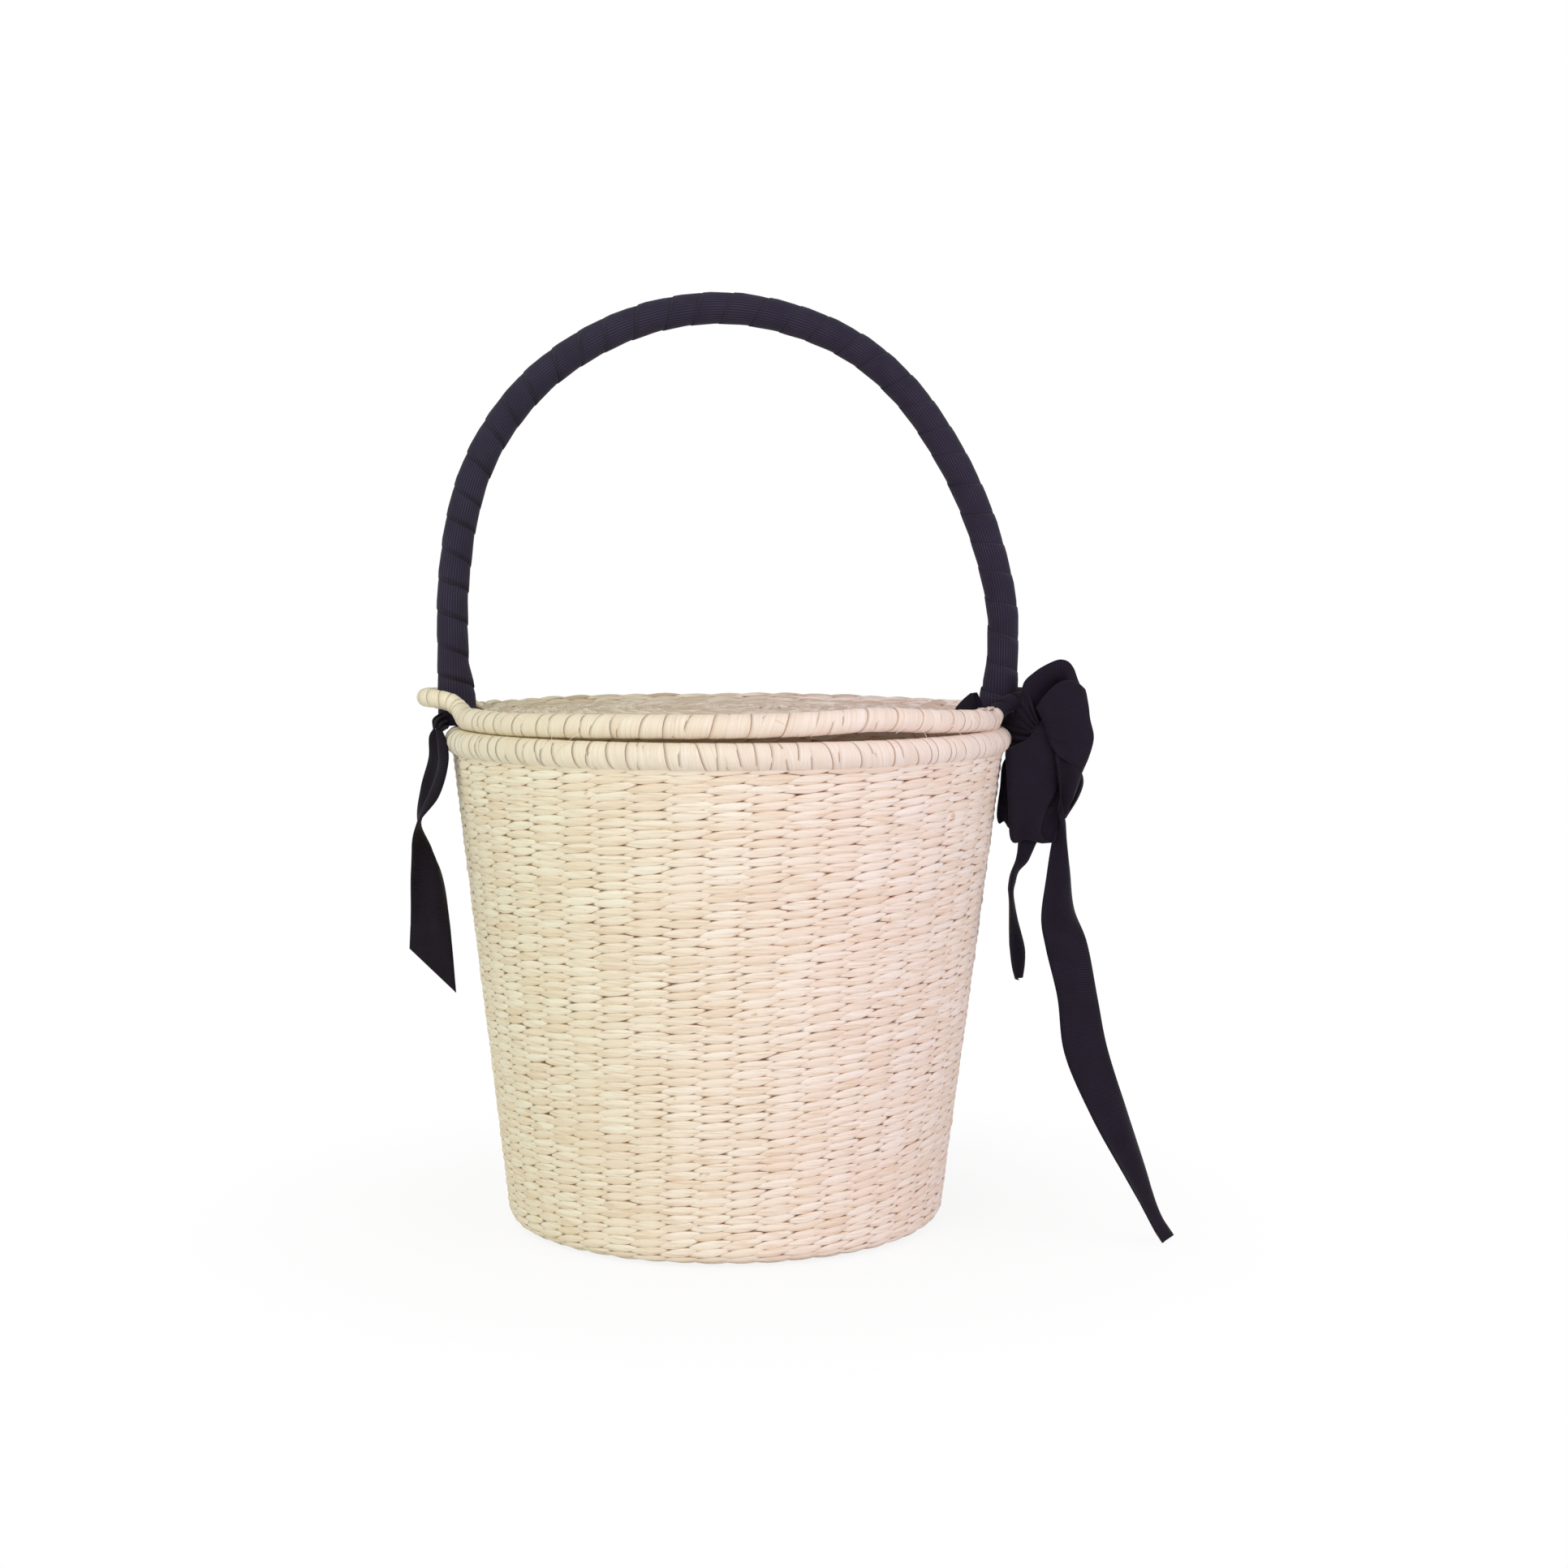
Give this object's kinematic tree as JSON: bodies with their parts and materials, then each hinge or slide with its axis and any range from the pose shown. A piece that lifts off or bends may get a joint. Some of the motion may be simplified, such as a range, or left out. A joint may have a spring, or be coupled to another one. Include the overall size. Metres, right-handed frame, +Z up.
{
  "type": "straw basket",
  "caption": "Round twined straw basket with a lid threaded on a ribbon-wrapped arched handle and a ribbon bow at one side.",
  "frame": {"origin": "centre of the rim's axis on the surface that the base rests on", "axes": "+Z up, out of the basket's mouth. +X towards the handle foot with the bow. The front that the picture shows faces -Y."},
  "size_m": [0.3679, 0.2778, 0.4548],
  "materials": {
    "straw": "matte twined palm strip",
    "wrapping": "matte wrapped palm strip",
    "cane": "bare cane, hidden inside the wrappings",
    "ribbon": "near-black grosgrain ribbon"
  },
  "bodies": {
    "basket": {"woven_base": "straw", "woven_wall": "straw", "rim_hoop": "cane", "rim_binding": "wrapping", "handle_core": "cane", "handle_ribbon": "ribbon", "left_ribbon_band": "ribbon", "bow_upper_band": "ribbon", "bow_lower_band": "ribbon", "bow_knot": "ribbon", "bow_upper_loop": "ribbon", "bow_front_loop": "ribbon", "bow_back_loop": "ribbon", "bow_long_tail": "ribbon", "bow_short_tail": "ribbon"},
    "lid": {"lid_panel": "straw", "lid_hoop": "cane", "lid_binding_front": "wrapping", "lid_binding_back": "wrapping", "left_ear_binding": "wrapping", "right_ear_ribbon": "ribbon", "left_ear_cord": "wrapping", "right_ear_cord": "wrapping", "tucked_ribbon_end": "ribbon"},
    "left_tail": {"left_ribbon_tail": "ribbon"}
  },
  "joints": [
    {"name": "lid_slide", "type": "slide", "parent": "basket", "child": "lid", "axis": [0, 0, 1], "range_m": [0, 0.065]},
    {"name": "left_tail_swing", "type": "hinge", "parent": "basket", "child": "left_tail", "pos_m": [-0.142, -0.026, 0.239], "axis": [1, 0, 0], "range_deg": [-25, 25]}
  ]
}
